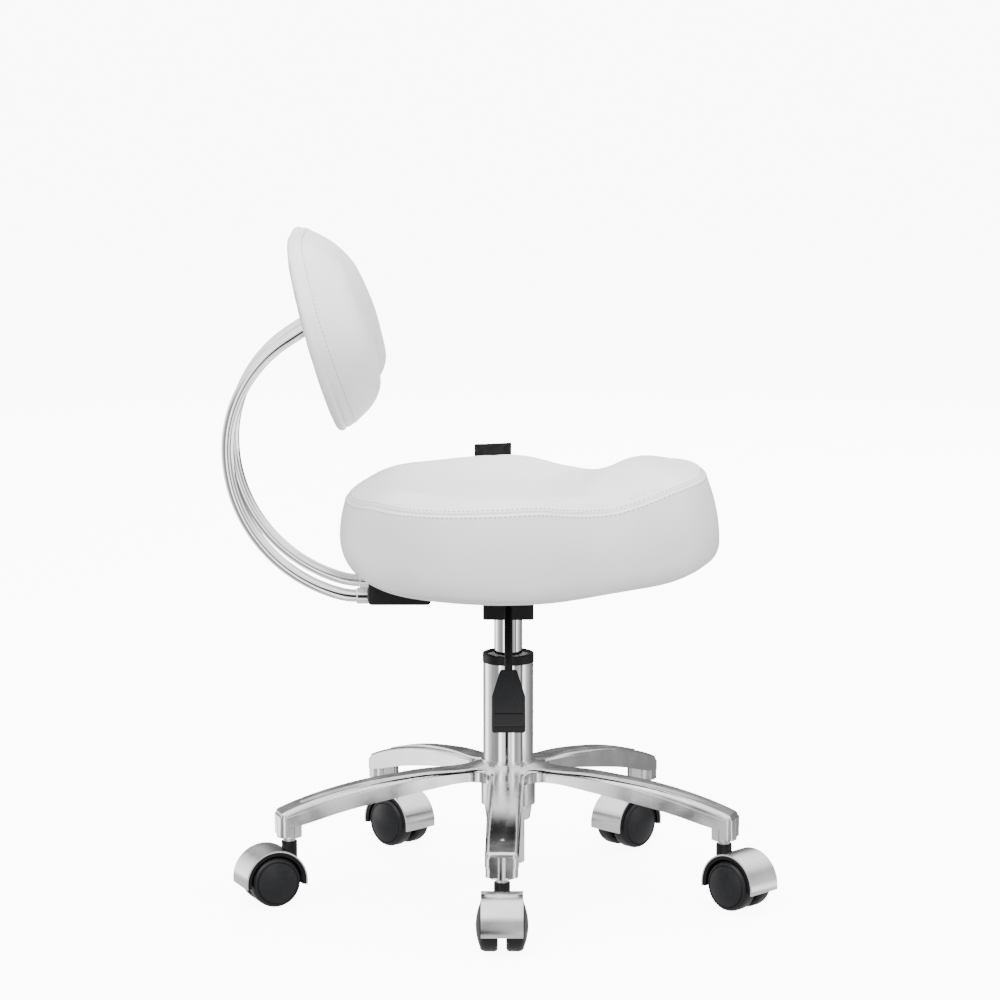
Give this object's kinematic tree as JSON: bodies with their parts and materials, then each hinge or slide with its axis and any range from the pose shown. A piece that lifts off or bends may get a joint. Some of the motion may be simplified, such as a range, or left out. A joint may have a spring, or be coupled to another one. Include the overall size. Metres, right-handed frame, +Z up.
{
  "type": "dentist stool",
  "caption": "Height-adjustable stool with a contoured padded seat, a sprung backrest on curved rods, a lift lever and a star base on hooded casters.",
  "frame": {"origin": "the column's axis at floor level", "axes": "+Z up; +X the way the sitter faces; -Y the sitter's right, where the lever is"},
  "size_m": [0.5439, 0.4852, 0.675],
  "materials": {
    "polished_aluminium": "hand-polished cast aluminium",
    "tube_chrome": "bright chrome plate on ground tube",
    "rod_chrome": "bright chrome plate on round bar",
    "hood_chrome": "satin chrome plate on pressed hoods",
    "bearing_steel": "ground steel",
    "black_steel": "blackened steel fasteners",
    "black_paint": "black powder coat, fine texture",
    "black_plastic": "moulded black plastic, fine texture",
    "grey_plastic": "grey acetal",
    "caster_black": "moulded black nylon",
    "wheel_black": "smooth dark grey nylon",
    "rubber": "black rubber",
    "plywood": "birch plywood",
    "foam": "moulded polyurethane foam",
    "white_leather": "white leatherette, fine grain",
    "black_cloth": "black woven cloth"
  },
  "bodies": {
    "base": {"star_base": "polished_aluminium", "column_tube": "tube_chrome", "column_collar": "black_plastic", "guide_bush": "grey_plastic", "lower_bearing_race": "bearing_steel", "caster_stems": "bearing_steel"},
    "spring_foot": {"piston_rod": "bearing_steel", "bearing_balls": "bearing_steel", "upper_bearing_race": "bearing_steel", "rubber_buffer": "rubber", "rod_clip": "bearing_steel"},
    "seat": {"gas_cylinder": "tube_chrome", "cylinder_seal": "grey_plastic", "lift_bracket": "black_paint", "mounting_plate": "black_paint", "seat_bolts": "black_steel", "tee_nuts": "bearing_steel", "seat_board": "plywood", "seat_foam": "foam", "seat_cover": "white_leather", "bottom_cloth": "black_cloth", "side_tab": "black_cloth", "back_bracket": "black_paint", "back_rod_right": "rod_chrome", "back_rod_left": "rod_chrome", "rod_ferrules": "rod_chrome", "back_plate": "black_paint", "back_screws": "black_steel", "back_board": "plywood", "back_foam": "foam", "back_cover": "white_leather", "lever_pivot_pin": "bearing_steel"},
    "lever": {"lever_rod": "black_paint", "lever_paddle": "black_plastic"},
    "pin": {"release_pin": "bearing_steel"},
    "right_caster": {"right_caster_body": "caster_black", "right_caster_hood": "hood_chrome", "right_caster_axle": "bearing_steel"},
    "right_wheel_a": {"right_caster_wheel_a": "wheel_black"},
    "right_wheel_b": {"right_caster_wheel_b": "wheel_black"},
    "front_right_caster": {"front_right_caster_body": "caster_black", "front_right_caster_hood": "hood_chrome", "front_right_caster_axle": "bearing_steel"},
    "front_right_wheel_a": {"front_right_caster_wheel_a": "wheel_black"},
    "front_right_wheel_b": {"front_right_caster_wheel_b": "wheel_black"},
    "front_left_caster": {"front_left_caster_body": "caster_black", "front_left_caster_hood": "hood_chrome", "front_left_caster_axle": "bearing_steel"},
    "front_left_wheel_a": {"front_left_caster_wheel_a": "wheel_black"},
    "front_left_wheel_b": {"front_left_caster_wheel_b": "wheel_black"},
    "rear_left_caster": {"rear_left_caster_body": "caster_black", "rear_left_caster_hood": "hood_chrome", "rear_left_caster_axle": "bearing_steel"},
    "rear_left_wheel_a": {"rear_left_caster_wheel_a": "wheel_black"},
    "rear_left_wheel_b": {"rear_left_caster_wheel_b": "wheel_black"},
    "rear_right_caster": {"rear_right_caster_body": "caster_black", "rear_right_caster_hood": "hood_chrome", "rear_right_caster_axle": "bearing_steel"},
    "rear_right_wheel_a": {"rear_right_caster_wheel_a": "wheel_black"},
    "rear_right_wheel_b": {"rear_right_caster_wheel_b": "wheel_black"}
  },
  "joints": [
    {"name": "seat_swivel", "type": "hinge", "parent": "base", "child": "spring_foot", "pos_m": [0, 0, 0.03], "axis": [0, 0, 1], "continuous": true},
    {"name": "seat_lift", "type": "slide", "parent": "spring_foot", "child": "seat", "axis": [0, 0, 1], "range_m": [0, 0.178]},
    {"name": "lever_tilt", "type": "hinge", "parent": "seat", "child": "lever", "pos_m": [0, -0.028, 0.311], "axis": [-1, 0, 0], "range_deg": [0, 8], "stiffness_Nm_per_rad": 1.5, "springref_deg": -14.32},
    {"name": "release_pin_press", "type": "slide", "parent": "seat", "child": "pin", "axis": [0, 0, -1], "range_m": [0, 0.0044]},
    {"name": "right_caster_swivel", "type": "hinge", "parent": "base", "child": "right_caster", "pos_m": [-0.00628, -0.22491, 0.05], "axis": [0, 0, 1], "continuous": true},
    {"name": "right_wheel_a_roll", "type": "hinge", "parent": "right_caster", "child": "right_wheel_a", "pos_m": [-0.00628, -0.24491, 0.025], "axis": [-1, 0, 0], "continuous": true},
    {"name": "right_wheel_b_roll", "type": "hinge", "parent": "right_caster", "child": "right_wheel_b", "pos_m": [-0.00628, -0.24491, 0.025], "axis": [-1, 0, 0], "continuous": true},
    {"name": "front_right_caster_swivel", "type": "hinge", "parent": "base", "child": "front_right_caster", "pos_m": [0.21196, -0.07548, 0.05], "axis": [0, 0, 1], "continuous": true},
    {"name": "front_right_wheel_a_roll", "type": "hinge", "parent": "front_right_caster", "child": "front_right_wheel_a", "pos_m": [0.22659, -0.08912, 0.025], "axis": [-0.682, -0.7314, 0], "continuous": true},
    {"name": "front_right_wheel_b_roll", "type": "hinge", "parent": "front_right_caster", "child": "front_right_wheel_b", "pos_m": [0.22659, -0.08912, 0.025], "axis": [-0.682, -0.7314, 0], "continuous": true},
    {"name": "front_left_caster_swivel", "type": "hinge", "parent": "base", "child": "front_left_caster", "pos_m": [0.13728, 0.17827, 0.05], "axis": [0, 0, 1], "continuous": true},
    {"name": "front_left_wheel_a_roll", "type": "hinge", "parent": "front_left_caster", "child": "front_left_wheel_a", "pos_m": [0.12314, 0.16412, 0.025], "axis": [-0.7071, 0.7071, 0], "continuous": true},
    {"name": "front_left_wheel_b_roll", "type": "hinge", "parent": "front_left_caster", "child": "front_left_wheel_b", "pos_m": [0.12314, 0.16412, 0.025], "axis": [-0.7071, 0.7071, 0], "continuous": true},
    {"name": "rear_left_caster_swivel", "type": "hinge", "parent": "base", "child": "rear_left_caster", "pos_m": [-0.12712, 0.18565, 0.05], "axis": [0, 0, 1], "continuous": true},
    {"name": "rear_left_wheel_a_roll", "type": "hinge", "parent": "rear_left_caster", "child": "rear_left_wheel_a", "pos_m": [-0.11298, 0.17151, 0.025], "axis": [-0.7071, -0.7071, 0], "continuous": true},
    {"name": "rear_left_wheel_b_roll", "type": "hinge", "parent": "rear_left_caster", "child": "rear_left_wheel_b", "pos_m": [-0.11298, 0.17151, 0.025], "axis": [-0.7071, -0.7071, 0], "continuous": true},
    {"name": "rear_right_caster_swivel", "type": "hinge", "parent": "base", "child": "rear_right_caster", "pos_m": [-0.21585, -0.06353, 0.05], "axis": [0, 0, 1], "continuous": true},
    {"name": "rear_right_wheel_a_roll", "type": "hinge", "parent": "rear_right_caster", "child": "rear_right_wheel_a", "pos_m": [-0.23426, -0.07134, 0.025], "axis": [-0.3907, 0.9205, 0], "continuous": true},
    {"name": "rear_right_wheel_b_roll", "type": "hinge", "parent": "rear_right_caster", "child": "rear_right_wheel_b", "pos_m": [-0.23426, -0.07134, 0.025], "axis": [-0.3907, 0.9205, 0], "continuous": true}
  ],
  "couplings": [
    {"joint": "release_pin_press", "follows": "lever_tilt", "m_per_rad": 0.0308}
  ]
}
